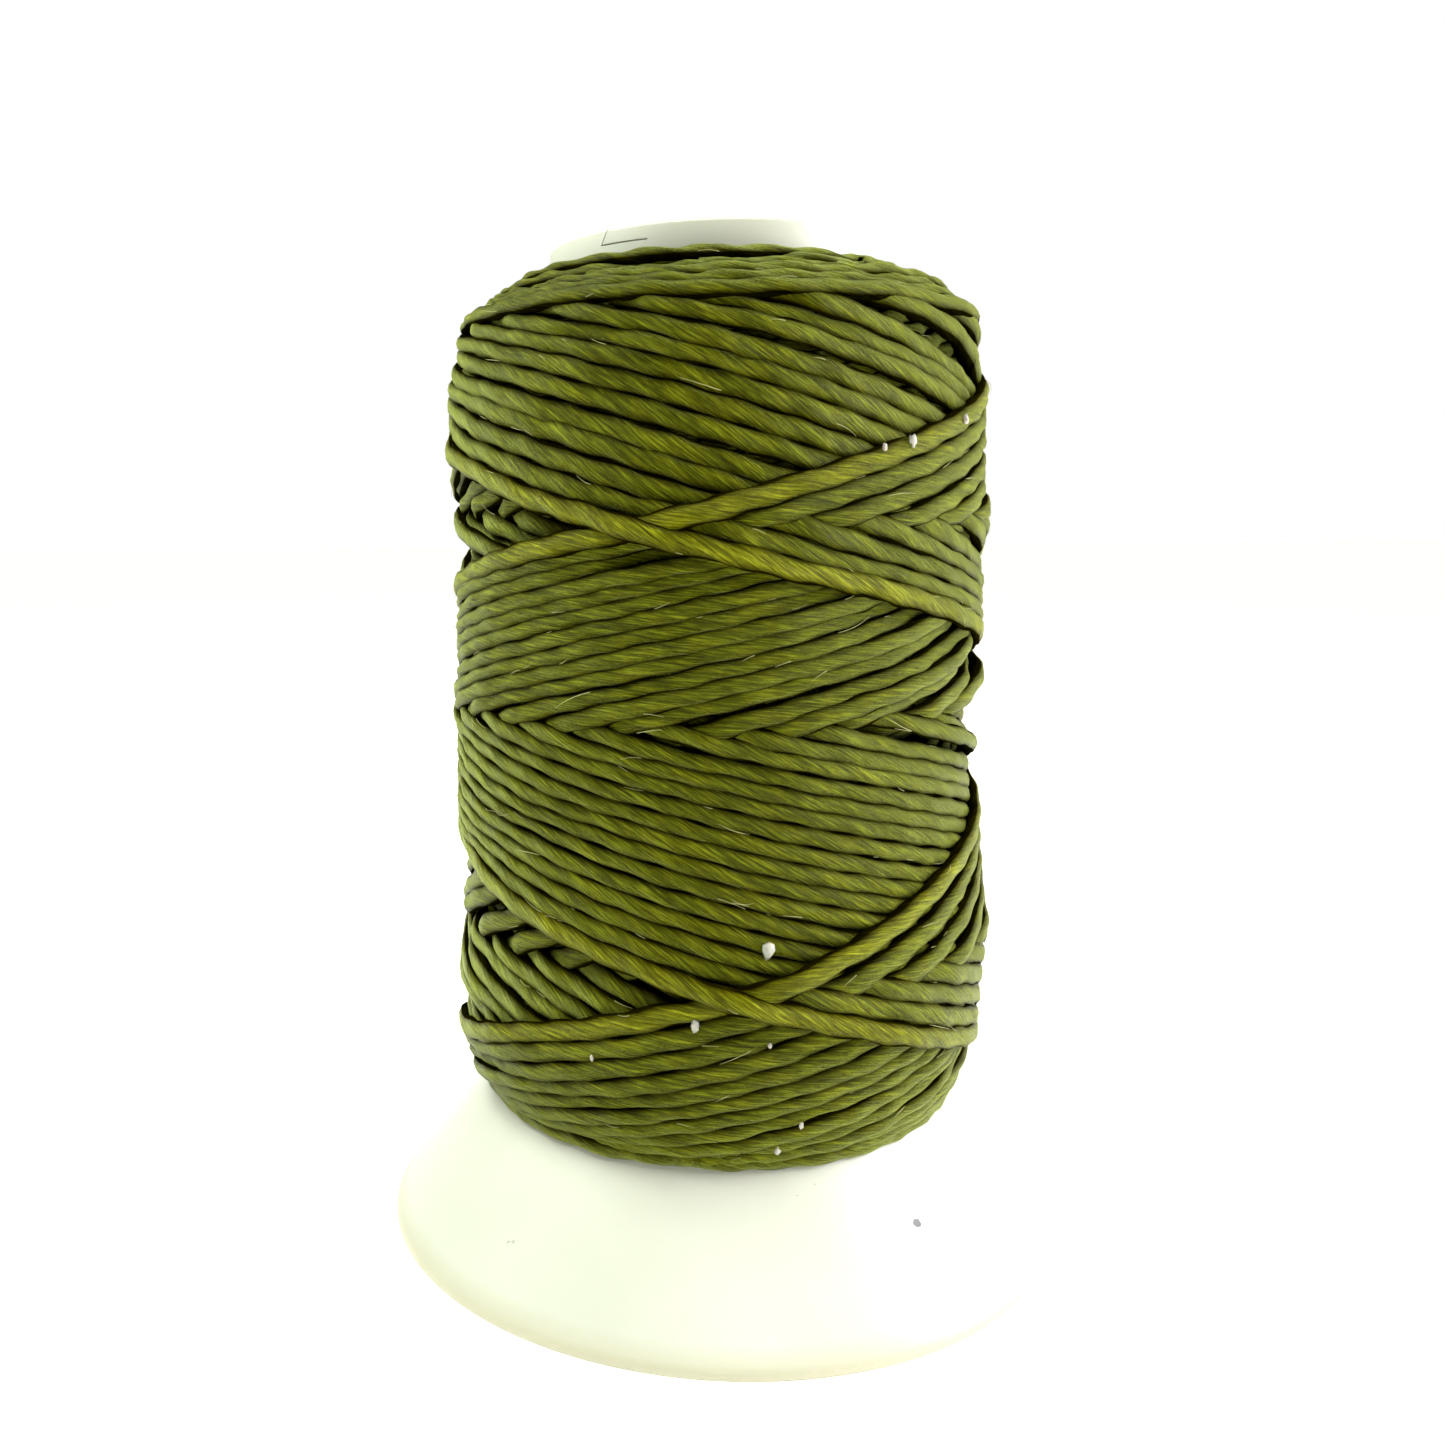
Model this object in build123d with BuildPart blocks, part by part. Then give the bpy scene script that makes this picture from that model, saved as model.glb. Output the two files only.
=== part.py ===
"""Waxed thread spool: a moulded plastic spool with a conical foot, wound with waxed thread.

Millimetres. The spool stands on its foot on the XY plane, its axis is Z, and its front faces -Y.
"""

from build123d import *

import math
import os

# Foot: a hollow cone with a short upright rim
FOOT_RADIUS = 22.5
RIM_HEIGHT = 0.45
RIM_ROUNDING = 0.9
FOOT_WALL = 1.4
LAND_ROUNDING = 0.12

# Where the foot's cone runs in under the thread, which sets the cone's slope
COVERED_RADIUS = 15.65
COVERED_Z = 8.8

# Tube: nearly straight, with a lead-in taper at its upper end
HEIGHT = 65.6
TUBE_TOP_RADIUS = 10.98
LEAD_IN_RADIUS = 11.35
LEAD_IN_Z = 61.6
TUBE_FOOT_RADIUS = 11.8
TUBE_WALL = 1.25
CONE_TO_TUBE_ROUNDING = 5.0
TOP_EDGE_ROUNDING = 0.2

# Web across the upper end, set down inside the rim, with a hub for the spindle of a thread stand
WEB_RECESS = 2.0
WEB_THICKNESS = 1.3
HUB_RADIUS = 5.0
HUB_END_Z = 50.0
INSIDE_ROUNDING = 0.5
SPINDLE_RADIUS = 3.75

# Fins between the hub and the tube
FIN_COUNT = 4
FIN_THICKNESS = 1.0
FIN_END_Z = 52.0

# L-shaped slit in the upper rim, which holds the thread's end: down, leaning a little to the
# left, then round to the right
SLIT_WIDTH = 0.1
SLIT_DEPTH = 1.05
SLIT_AZIMUTH = -38.4
SLIT_SWEEP = 17.5
SLIT_LEAN = 25

# Winding: the outer shape of all the turns of 1 mm thread together, a hair clear of the plastic
WINDING_RADIUS = 17.9
BARREL_START_Z = 14.5
BARREL_END_Z = 59.2
WINDING_TOP_Z = 63.5
WINDING_TOP_RADIUS = 12.4
WINDING_CLEARANCE = 0.05

CONE_SLOPE = (FOOT_RADIUS - COVERED_RADIUS) / (COVERED_Z - RIM_HEIGHT)
LEAD_IN_SLOPE = (LEAD_IN_RADIUS - TUBE_TOP_RADIUS) / (HEIGHT - LEAD_IN_Z)


def cone_z(radius):
    """Height at which the outside of the foot's cone has this radius."""
    return RIM_HEIGHT + (FOOT_RADIUS - radius) / CONE_SLOPE


# Heights and radii that follow from the driving dimensions
CONE_END_Z = cone_z(TUBE_FOOT_RADIUS)
CONE_WALL_ACROSS = FOOT_WALL * math.hypot(1, CONE_SLOPE)
LAND_INNER_RADIUS = FOOT_RADIUS + CONE_SLOPE * RIM_HEIGHT - CONE_WALL_ACROSS
BORE_TOP_RADIUS = TUBE_TOP_RADIUS - TUBE_WALL
BORE_FOOT_RADIUS = TUBE_FOOT_RADIUS - TUBE_WALL
BORE_START_Z = cone_z(BORE_FOOT_RADIUS + CONE_WALL_ACROSS)
WEB_TOP_Z = HEIGHT - WEB_RECESS
WEB_BOTTOM_Z = WEB_TOP_Z - WEB_THICKNESS


def corners(sketch, *points):
    """The sketch's vertices nearest to these points."""
    return [sketch.vertices().sort_by_distance((x, y, 0))[0] for x, y in points]


os.makedirs("parts", exist_ok=True)

# Spool body: foot, tube, web, hub and fins are one moulding
with BuildPart() as spool_body:
    with BuildSketch(Plane.XZ) as wall_section:
        with BuildLine():
            Polyline(
                (LAND_INNER_RADIUS, 0),
                (FOOT_RADIUS, 0),
                (FOOT_RADIUS, RIM_HEIGHT),
                (TUBE_FOOT_RADIUS, CONE_END_Z),
                (LEAD_IN_RADIUS, LEAD_IN_Z),
                (TUBE_TOP_RADIUS, HEIGHT),
                (BORE_TOP_RADIUS, HEIGHT),
                (BORE_TOP_RADIUS, WEB_TOP_Z),
                (SPINDLE_RADIUS, WEB_TOP_Z),
                (SPINDLE_RADIUS, HUB_END_Z),
                (HUB_RADIUS, HUB_END_Z),
                (HUB_RADIUS, WEB_BOTTOM_Z),
                (BORE_TOP_RADIUS, WEB_BOTTOM_Z),
                (BORE_FOOT_RADIUS, BORE_START_Z),
                close=True,
            )
        make_face()
        fillet(corners(wall_section, (FOOT_RADIUS, RIM_HEIGHT)), RIM_ROUNDING)
        fillet(corners(wall_section, (FOOT_RADIUS, 0), (LAND_INNER_RADIUS, 0)), LAND_ROUNDING)
        fillet(
            corners(wall_section, (TUBE_FOOT_RADIUS, CONE_END_Z), (BORE_FOOT_RADIUS, BORE_START_Z)),
            CONE_TO_TUBE_ROUNDING,
        )
        fillet(
            corners(wall_section, (TUBE_TOP_RADIUS, HEIGHT), (BORE_TOP_RADIUS, HEIGHT)),
            TOP_EDGE_ROUNDING,
        )
        fillet(
            corners(
                wall_section,
                (BORE_TOP_RADIUS, WEB_TOP_Z),
                (HUB_RADIUS, WEB_BOTTOM_Z),
                (BORE_TOP_RADIUS, WEB_BOTTOM_Z),
            ),
            INSIDE_ROUNDING,
        )
        chamfer(
            corners(wall_section, (SPINDLE_RADIUS, WEB_TOP_Z), (SPINDLE_RADIUS, HUB_END_Z)),
            INSIDE_ROUNDING,
        )
    revolve(axis=Axis.Z)

    # Fins, each from inside the hub's wall to inside the tube's wall
    fin_inner = SPINDLE_RADIUS + (HUB_RADIUS - SPINDLE_RADIUS) / 2
    fin_outer = BORE_TOP_RADIUS + TUBE_WALL / 2
    with BuildSketch(Plane.XY.offset(FIN_END_Z)):
        with PolarLocations((fin_inner + fin_outer) / 2, FIN_COUNT, start_angle=180 / FIN_COUNT):
            Rectangle(fin_outer - fin_inner, FIN_THICKNESS)
    extrude(amount=WEB_BOTTOM_Z + WEB_THICKNESS / 2 - FIN_END_Z)

    # Slit: the leaning cut down from the rim, then the level cut that starts from its foot
    slit_angle = SLIT_AZIMUTH - 90
    slit_radius = (BORE_TOP_RADIUS + TUBE_TOP_RADIUS) / 2
    slit_outward = Vector(1, 0, 0).rotate(Axis.Z, slit_angle)
    slit_foot = slit_outward * slit_radius + Vector(0, 0, HEIGHT - SLIT_DEPTH)
    slit_right = Vector(0, 0, 1).cross(slit_outward)
    with BuildSketch(Plane(slit_foot, x_dir=slit_right, z_dir=slit_outward)):
        with Locations(Rotation(0, 0, -SLIT_LEAN)):
            Rectangle(SLIT_WIDTH, 2 * SLIT_DEPTH, align=(Align.CENTER, Align.MIN))
    extrude(amount=TUBE_WALL, both=True, mode=Mode.SUBTRACT)
    with BuildSketch(Plane((0, 0, 0), x_dir=slit_outward, z_dir=slit_outward.cross(Vector(0, 0, 1)))):
        with Locations((slit_radius, HEIGHT - SLIT_DEPTH + SLIT_WIDTH / 2)):
            Rectangle(2 * TUBE_WALL, SLIT_WIDTH)
    revolve(axis=Axis.Z, revolution_arc=SLIT_SWEEP, mode=Mode.SUBTRACT)

spool_body.part.label = "spool_body"
export_step(spool_body.part, "parts/spool_body.step")

# Thread winding: one closed ring, round at both shoulders, that sits on the cone and the tube
with BuildPart() as thread_winding:
    with BuildSketch(Plane.XZ) as winding_section:
        covered_inner = (COVERED_RADIUS + WINDING_CLEARANCE, COVERED_Z)
        tube_inner = (TUBE_FOOT_RADIUS + WINDING_CLEARANCE, CONE_END_Z)
        lead_in_inner = (LEAD_IN_RADIUS + WINDING_CLEARANCE, LEAD_IN_Z)
        top_inner_radius = LEAD_IN_RADIUS - LEAD_IN_SLOPE * (WINDING_TOP_Z - LEAD_IN_Z)
        top_inner = (top_inner_radius + WINDING_CLEARANCE, WINDING_TOP_Z)
        with BuildLine():
            Polyline(covered_inner, tube_inner, lead_in_inner, top_inner)
            Line(top_inner, (WINDING_TOP_RADIUS, WINDING_TOP_Z))
            Spline(
                (WINDING_TOP_RADIUS, WINDING_TOP_Z),
                (WINDING_RADIUS, BARREL_END_Z),
                tangents=((1, 0), (0, -1)),
            )
            Line((WINDING_RADIUS, BARREL_END_Z), (WINDING_RADIUS, BARREL_START_Z))
            Spline(
                (WINDING_RADIUS, BARREL_START_Z),
                covered_inner,
                tangents=((0, -1), (-CONE_SLOPE, -1)),
            )
        make_face()
        fillet(corners(winding_section, tube_inner), CONE_TO_TUBE_ROUNDING)
    revolve(axis=Axis.Z)

thread_winding.part.label = "thread_winding"
export_step(thread_winding.part, "parts/thread_winding.step")

# How much of the winding the thread itself fills: round thread wound crosswise fills about 0.65
THREAD_LENGTH = 25000
THREAD_DIAMETER = 1.0
thread_volume = THREAD_LENGTH * math.pi * THREAD_DIAMETER**2 / 4
print("share of the winding that is thread:", round(thread_volume / thread_winding.part.volume, 3))
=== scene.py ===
"""Waxed thread spool: the plastic spool from the frame, wound with 26 m of modelled thread."""

import math

import bpy
import numpy as np
from mathutils import Matrix, Vector


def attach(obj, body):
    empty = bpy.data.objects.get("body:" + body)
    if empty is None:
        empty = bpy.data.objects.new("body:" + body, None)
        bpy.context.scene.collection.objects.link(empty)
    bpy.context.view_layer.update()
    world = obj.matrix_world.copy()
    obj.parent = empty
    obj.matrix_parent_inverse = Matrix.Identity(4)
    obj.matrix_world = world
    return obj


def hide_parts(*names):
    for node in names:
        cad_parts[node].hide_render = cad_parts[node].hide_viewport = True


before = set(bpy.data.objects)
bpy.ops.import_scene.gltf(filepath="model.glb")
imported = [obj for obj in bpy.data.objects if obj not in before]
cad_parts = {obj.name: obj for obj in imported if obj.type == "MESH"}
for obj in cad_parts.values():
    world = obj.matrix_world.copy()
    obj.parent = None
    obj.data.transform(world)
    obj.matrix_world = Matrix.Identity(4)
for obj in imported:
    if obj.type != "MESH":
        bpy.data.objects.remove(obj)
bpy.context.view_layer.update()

MM = 0.001

# ---------------------------------------------------------------------------------------------
# Camera: a phone lens close to the spool, a little under the rim of the tube, in millimetres
CAMERA_PLACE = (0.0, -95.41, 47.26)
CAMERA_YAW = -0.1111
CAMERA_PITCH = 0.0814
CAMERA_ROLL = -0.0100
CAMERA_LENS = 34.245
CAMERA_SHIFT = (0.1122, -0.0580)


def make_camera():
    data = bpy.data.cameras.new("camera")
    data.sensor_width = 36.0
    data.lens = CAMERA_LENS
    data.shift_x, data.shift_y = CAMERA_SHIFT
    data.clip_start = 0.005
    camera = bpy.data.objects.new("camera", data)
    look = Vector((
        math.sin(CAMERA_YAW) * math.cos(CAMERA_PITCH),
        math.cos(CAMERA_YAW) * math.cos(CAMERA_PITCH),
        -math.sin(CAMERA_PITCH),
    ))
    level = Vector((math.cos(CAMERA_YAW), -math.sin(CAMERA_YAW), 0.0))
    right = (Matrix.Rotation(-CAMERA_ROLL, 3, look) @ level).normalized()
    up = right.cross(look)
    turn = Matrix((right, up, -look)).transposed().to_4x4()
    camera.matrix_world = Matrix.Translation(Vector(CAMERA_PLACE) * MM) @ turn
    bpy.context.collection.objects.link(camera)
    bpy.context.scene.camera = camera


# ---------------------------------------------------------------------------------------------
# The plastic spool's outside, as the CAD has it. From here on lengths are in millimetres and
# angles in degrees. Azimuth 0 is the front, and it grows to the right.
FOOT_RADIUS, RIM_HEIGHT = 22.5, 0.45
COVERED_RADIUS, COVERED_Z = 15.65, 8.8          # another point on the foot's cone
TUBE_HEIGHTS, TUBE_RADII = (13.5, 61.6, 65.6), (11.8, 11.35, 10.98)

# Outer shape of the full winding
BARREL_RADIUS = 17.35        # mean radius of its surface
TOP_RADIUS, TOP_Z = 12.2, 63.4
SHOULDER_Z, SHOULDER_POWER = 59.3, 1.8
LOW_RADIUS, LOW_Z, LOW_SHOULDER_Z = 16.1, 8.8, 15.0

# The thread
HALF_HEIGHT = 0.455          # half of the flattened thread's height
HALF_WIDTH, WIDEST = 0.57, 0.72         # half of its width, at least and at most
WIDTH_PER_PITCH = 0.545      # half of its width, as a share of the distance between turns
CONTACT_WIDTH = 0.46         # half of the width that bears on what is beneath
NO_CONTACT = -99.0           # for a cell that the thread doesn't bear on

# How the thread lies on what is beneath
PACKING = 0.9                # how little the next layer is held off, as the wax and fibres give
SINK = 0.08                  # how far a taut thread presses into the one it crosses
SLIDES = np.arange(-0.2, 0.21, 0.1)     # how far it may slide up or down into a groove
SLIDE_STIFFNESS = 1.2        # how much it has to sink for a slide to pay
SLIDE_REACH = 40             # samples over which it moves sideways
BEND_REACH = 6               # samples over which it bends
SETTLE_REACH, SQUEEZE_REACH = 4, 20     # samples over which pressing and squeezing are evened out
CLEAR_OF_SPOOL = 0.5         # from the plastic to the middle of a thread that lies on it
CLEAR_OF_CONE = 0.48         # the same, straight up from the cone

# How the layers beneath give as the winding grows
PRESS_EVERY = 8              # chunks between two pressings of the whole winding
PRESS_SHARE = 0.2            # share of the excess that gives at each pressing
PRESS_SETS_IN = 20           # chunks over which the pressing grows to its full share
PRESS_REACH_ROUND, PRESS_REACH_UP = 10.0, 0.6   # degrees and mm over which it is evened out
PRESS_BELOW, PRESS_ABOVE = 2.0, 1.0     # how far past the winding's ends it goes
LOW_END, HIGH_END, END_BLEND = 15.5, 57.5, 3.0  # past these each place is pressed on its own
PROUD, PROUD_SHARE = 0.30, 0.45         # past this far proud, it is squeezed to this share
FREE_SHARE = 0.65            # but the last turns laid are squeezed less

# How the winding machine moves
TURN = 360.0
CYCLE_LAG = 15.0             # each cycle starts this much short of the one before
CYCLE = 4 * TURN - CYCLE_LAG            # winding angle from one upper turning point to the next
CYCLES = 65
FREE_CYCLES = 1.0            # nothing but itself lies on the thread of the last cycle
LAST_TURNING_POINT = 160.0   # azimuth of the last upper turning point
LAST_POINTS = 7              # points of the stroke that are wound after it
FIRST_RADIUS, GROWTH = 11.9, 6.0        # radius of the first layer, and what all of them add
FIRST_TOP_Z, TOP_DROP, TOP_DROP_POWER = 63.0, 2.4, 1.5  # later layers turn lower down
OUTERMOST_ON_CONE, ABOVE_CONE = 15.7, 0.66      # lower turning points: radius and height on the cone
LEVEL_CYCLES = (46, 49, 52, 55, 58, 61)         # cycles that begin with a level turn at the top
LEVEL_HEIGHTS = (62.9, 62.5, 62.0, 61.5, 61.0, 60.6)
LEVEL_DROP = 0.1
HEIGHT_JITTER, JITTER_SEED = 0.03, 11

# Sampling
STEP = 0.5                   # winding angle between samples, and azimuth between cells
CHUNK, AHEAD = 120, 80       # samples laid at a time, and those looked at past them
Z_STEP = 0.1                 # height between cells
Z_LOW, Z_HIGH = 4.0, 68.0

# One cycle of the outermost layer: (winding angle since the upper turning point, height)
STROKE = (
    (0.0, 60.6),
    (45.0, 58.6),
    (186.7, 47.0),
    (564.8, 20.1),
    (638.9, 13.6),
    (690.0, 10.6),
    (735.0, 9.5),
    (780.0, 10.4),
    (826.4, 13.1),
    (909.8, 20.1),
    (984.0, 28.3),
    (1198.9, 43.9),
    (1251.7, 47.0),
    (1380.0, 58.2),
    (CYCLE, 60.6),
)


def cone_z(radius):
    """Height of the foot's cone at this radius."""
    run, rise = FOOT_RADIUS - COVERED_RADIUS, COVERED_Z - RIM_HEIGHT
    return RIM_HEIGHT + (FOOT_RADIUS - radius) * rise / run


def bare_radius(z):
    """Radius of the plastic spool at height z."""
    run, rise = FOOT_RADIUS - COVERED_RADIUS, COVERED_Z - RIM_HEIGHT
    cone = FOOT_RADIUS - (z - RIM_HEIGHT) * run / rise
    return np.maximum(cone, np.interp(z, TUBE_HEIGHTS, TUBE_RADII))


def full_radius(z):
    """Radius of the full winding at height z: a barrel with a round shoulder at each end."""
    up = np.clip((z - SHOULDER_Z) / (TOP_Z - SHOULDER_Z), 0, 1)
    round_off = (1 - up ** SHOULDER_POWER) ** (1 / SHOULDER_POWER)
    top = TOP_RADIUS + (BARREL_RADIUS - TOP_RADIUS) * round_off
    down = np.clip((LOW_SHOULDER_Z - z) / (LOW_SHOULDER_Z - LOW_Z), 0, 1)
    return np.minimum(top, BARREL_RADIUS - (BARREL_RADIUS - LOW_RADIUS) * down ** 2)


def monotone(x, y, at):
    """Smooth curve through the points, without overshoot between them (Fritsch and Carlson)."""
    x, y = np.asarray(x, float), np.asarray(y, float)
    h = np.diff(x)
    d = np.diff(y) / h
    slopes = np.zeros(len(x))
    same = d[:-1] * d[1:] > 0
    before, after = np.where(d[:-1] == 0, 1, d[:-1]), np.where(d[1:] == 0, 1, d[1:])
    w1, w2 = 2 * h[1:] + h[:-1], h[1:] + 2 * h[:-1]
    slopes[1:-1][same] = ((w1 + w2) / (w1 / before + w2 / after))[same]
    i = np.clip(np.searchsorted(x, at) - 1, 0, len(h) - 1)
    t = (at - x[i]) / h[i]
    return ((1 + 2 * t) * (1 - t) ** 2 * y[i] + t * (1 - t) ** 2 * h[i] * slopes[i]
            + t * t * (3 - 2 * t) * y[i + 1] + t * t * (t - 1) * h[i] * slopes[i + 1])


def plan():
    """Winding angle and height along the whole thread, in the order it was wound."""
    draw = np.random.default_rng(JITTER_SEED)
    angles, heights = np.array(STROKE).T
    low, high = heights.min(), heights.max()
    first = LAST_TURNING_POINT - CYCLES * CYCLE
    all_angles, all_heights = [], []
    level = dict(zip(LEVEL_CYCLES, LEVEL_HEIGHTS))
    for cycle in range(CYCLES + 1):
        share = cycle / CYCLES
        radius = FIRST_RADIUS + GROWTH * share
        top = level.get(cycle, FIRST_TOP_Z - TOP_DROP * share ** TOP_DROP_POWER)
        bottom = cone_z(min(radius, OUTERMOST_ON_CONE)) + ABOVE_CONE
        stretched = np.interp(heights, [low, high], [bottom, top])
        stretched = stretched + draw.normal(0, HEIGHT_JITTER, len(heights))
        start = first + cycle * CYCLE
        keep = slice(0, None if cycle < CYCLES else LAST_POINTS)
        skip = 1 if cycle else 0
        if cycle in level:
            first += TURN
            all_angles.append([start + angles[0], start + TURN / 2])
            all_heights.append([stretched[0], stretched[0] - LEVEL_DROP])
            start += TURN
            skip = 0
        all_angles.append((start + angles[keep])[skip:])
        all_heights.append(stretched[keep][skip:])
    knots = np.concatenate(all_angles)
    at = np.arange(knots[0], knots[-1], STEP)
    return at, monotone(knots, np.concatenate(all_heights), at)


def tight(angle, radius, mean):
    """The path of a taut thread over these supports: straight where nothing holds it up."""
    x = np.radians(angle - angle[0])
    y = radius - mean * x * x / 2
    hull = []
    for i in range(len(x)):
        while len(hull) > 1:
            a, b = hull[-2], hull[-1]
            if (y[b] - y[a]) * (x[i] - x[a]) <= (y[i] - y[a]) * (x[b] - x[a]):
                hull.pop()
            else:
                break
        hull.append(i)
    return np.interp(x, x[hull], y[hull]) + mean * x * x / 2


def smooth(values, reach):
    """Running mean with soft ends, over this many samples each way."""
    k = np.exp(-np.linspace(-2, 2, 2 * reach + 1) ** 2)
    padded = np.concatenate([np.full(reach, values[0]), values, np.full(reach, values[-1])])
    return np.convolve(padded, k / k.sum(), mode="valid")


def blur_for(shape, reach_round, reach_up):
    """Weights that smooth a map round the winding and up it, for use on its Fourier transform."""
    round_it = np.exp(-2 * (math.pi * reach_round * np.fft.fftfreq(shape[0])) ** 2)
    up_it = np.exp(-2 * (math.pi * reach_up * np.fft.rfftfreq(shape[1])) ** 2)
    return round_it[:, None] * up_it


def wind():
    """Lays the thread turn by turn on what is there already. Returns its angle, height and radius."""
    angle, height = plan()
    bins = round(TURN / STEP)
    z_bins = round((Z_HIGH - Z_LOW) / Z_STEP)
    surface = np.tile(bare_radius(Z_LOW + Z_STEP * np.arange(z_bins)), (bins, 1))
    reach = int(CONTACT_WIDTH / Z_STEP) + 1
    offsets = np.arange(-reach, reach + 1)
    column = np.round(angle / STEP).astype(int) % bins

    def section(columns, at):
        """The cells under the thread, and how far its middle is held off each of them."""
        row = np.round((at - Z_LOW) / Z_STEP).astype(int)
        across = Z_LOW + Z_STEP * (row[:, None] + offsets) - at[:, None]
        bulge = HALF_HEIGHT * np.sqrt(np.clip(1 - (across / CONTACT_WIDTH) ** 2, 0, 1))
        return (columns[:, None], row[:, None] + offsets), np.where(bulge > 0, bulge, NO_CONTACT)

    def resting(columns, at):
        """Radius of the thread's centre where it lies on the surface at these heights."""
        cells, bulge = section(columns, at)
        return (surface[cells] + bulge).max(axis=1)

    heights = Z_LOW + Z_STEP * np.arange(z_bins)
    bare, full = bare_radius(heights), full_radius(heights)
    wound = (heights > LOW_Z - PRESS_BELOW) & (heights < TOP_Z + PRESS_ABOVE)
    pressed = np.zeros_like(surface)    # how far each place has been pressed in so far
    pressed_when_laid = np.zeros(len(angle))
    past_end = np.maximum((LOW_END - heights) / END_BLEND, (heights - HIGH_END) / END_BLEND)
    at_ends = np.clip(past_end, 0, 1)
    blur = blur_for(surface.shape, PRESS_REACH_ROUND / STEP, PRESS_REACH_UP / Z_STEP)
    radius = np.zeros(len(angle))
    slid = np.zeros(len(angle))
    for start in range(0, len(angle), CHUNK):
        if start % (CHUNK * PRESS_EVERY) == 0:
            aim = bare + (full - bare) * start / len(angle)
            excess = np.fft.irfft2(np.fft.rfft2(surface - aim) * blur, surface.shape)
            excess = excess.mean(axis=0) * (1 - at_ends) + excess * at_ends
            give = PRESS_SHARE * np.where(wound, excess, 0) * min(1, start / (PRESS_SETS_IN * CHUNK))
            give = surface - np.maximum(surface - give, bare)
            surface -= give
            pressed += give
        back = max(0, start - AHEAD)
        stop = min(len(angle), start + CHUNK)
        end = min(len(angle), stop + AHEAD)
        columns, at = column[start:end], height[start:end]
        costs = [resting(columns, at + s) + SLIDE_STIFFNESS * s * s for s in SLIDES]
        choice = SLIDES[np.argmin(costs, axis=0)]
        choice = smooth(np.concatenate([slid[back:start], choice]), SLIDE_REACH)[start - back:]
        slid[start:end] = choice
        at = at + choice
        lifted = np.concatenate([radius[back:start], resting(columns, at)])
        taut = tight(angle[back:end], lifted, float(lifted.mean()))
        taut = np.maximum(smooth(taut, BEND_REACH), lifted - SINK)[start - back:]
        radius[start:end] = taut
        own = slice(0, stop - start)
        cells, bulge = section(columns[own], at[own])
        surface[cells] = np.maximum(surface[cells], taut[own, None] + bulge * PACKING)
        cell = (columns[own], np.round((at[own] - Z_LOW) / Z_STEP).astype(int))
        pressed_when_laid[start:stop] = pressed[cell]
    height = np.maximum(height + slid, cone_z(radius) + CLEAR_OF_CONE)
    cell = (column, np.round((height - Z_LOW) / Z_STEP).astype(int))
    radius = smooth(radius - pressed[cell] + pressed_when_laid, SETTLE_REACH)
    radius = np.maximum(radius, bare_radius(height) + CLEAR_OF_SPOOL)
    limit = full_radius(height) - HALF_HEIGHT + PROUD
    share = np.where(angle > angle[-1] - FREE_CYCLES * CYCLE, FREE_SHARE, PROUD_SHARE)
    squeezed = limit + smooth(share, SQUEEZE_REACH) * (radius - limit)
    return angle, height, np.where(radius > limit, squeezed, radius)


# ---------------------------------------------------------------------------------------------
# Thread mesh
RING = 12                    # points round the thread
FINE_CYCLES = 26             # cycles that can be seen, wound last
FINE_PIECES = 5
COARSE_EVERY, FINE_EVERY = 10, 2        # samples between two rings
FINE_BELOW, FINE_ABOVE = 15.5, 58.5     # heights past which the inner layers are fine too
PLY_LAY = 7.0                # length of one turn of the thread's twist
PLY_DEPTH = 0.10
ROPY_FROM_Z, ROPY_OVER = 60.0, 1.5      # the plies stand out more in the slack turns at the top
ROUGHNESS, ROUGH_SPACING = 0.035, 0.9   # uneven surface: share of its size, and how far apart
UNEVEN = 0.03                # how much its size varies
WIDTH_SPACING, HEIGHT_SPACING = 9.0, 6.0        # and over what length
PITCH_REACH = 40             # samples over which the distance between turns is evened out
FREE_BLEND = 20.0            # winding angle over which the last turns widen
SLOPE_REACH = 0.2            # height over which the winding's slope is taken
SLOPE_LOW, SLOPE_HIGH = -0.8, 2.0       # and how far it is followed
SEEN_DEPTH = 0.05            # a strand is seen if it reaches this close to the outermost surface
UV_LENGTH = 10               # millimetres of thread in one unit of its map
BAKE_GAP = 0.12              # room between the rows of the bake map, in thread widths
WIDTH_SEED, HEIGHT_SEED, ROUGH_SEED = 21, 22, 50
REACH_CELLS = 6              # cells each side of a sample that its strand may cover


def along_path(points):
    """Length of the path up to each of its points."""
    steps = np.linalg.norm(np.diff(points, axis=0), axis=1)
    return np.concatenate([[0], np.cumsum(steps)])


def slow_noise(length, spacing, seed):
    """A smooth random curve of about unit size, one swing in each spacing."""
    draw = np.random.default_rng(seed)
    knots = np.arange(-spacing, length[-1] + 2 * spacing, spacing)
    values = draw.normal(0, 1, len(knots))
    x = (length - knots[0]) / spacing
    i = np.clip(x.astype(int), 1, len(knots) - 3)
    t = x - i
    a, b, c, d = values[i - 1], values[i], values[i + 1], values[i + 2]
    return b + 0.5 * t * (c - a + t * (2 * a - 5 * b + 4 * c - d + t * (3 * (b - c) + d - a)))


def unit(vectors):
    """The vectors at length 1."""
    return vectors / np.linalg.norm(vectors, axis=-1, keepdims=True)


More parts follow.
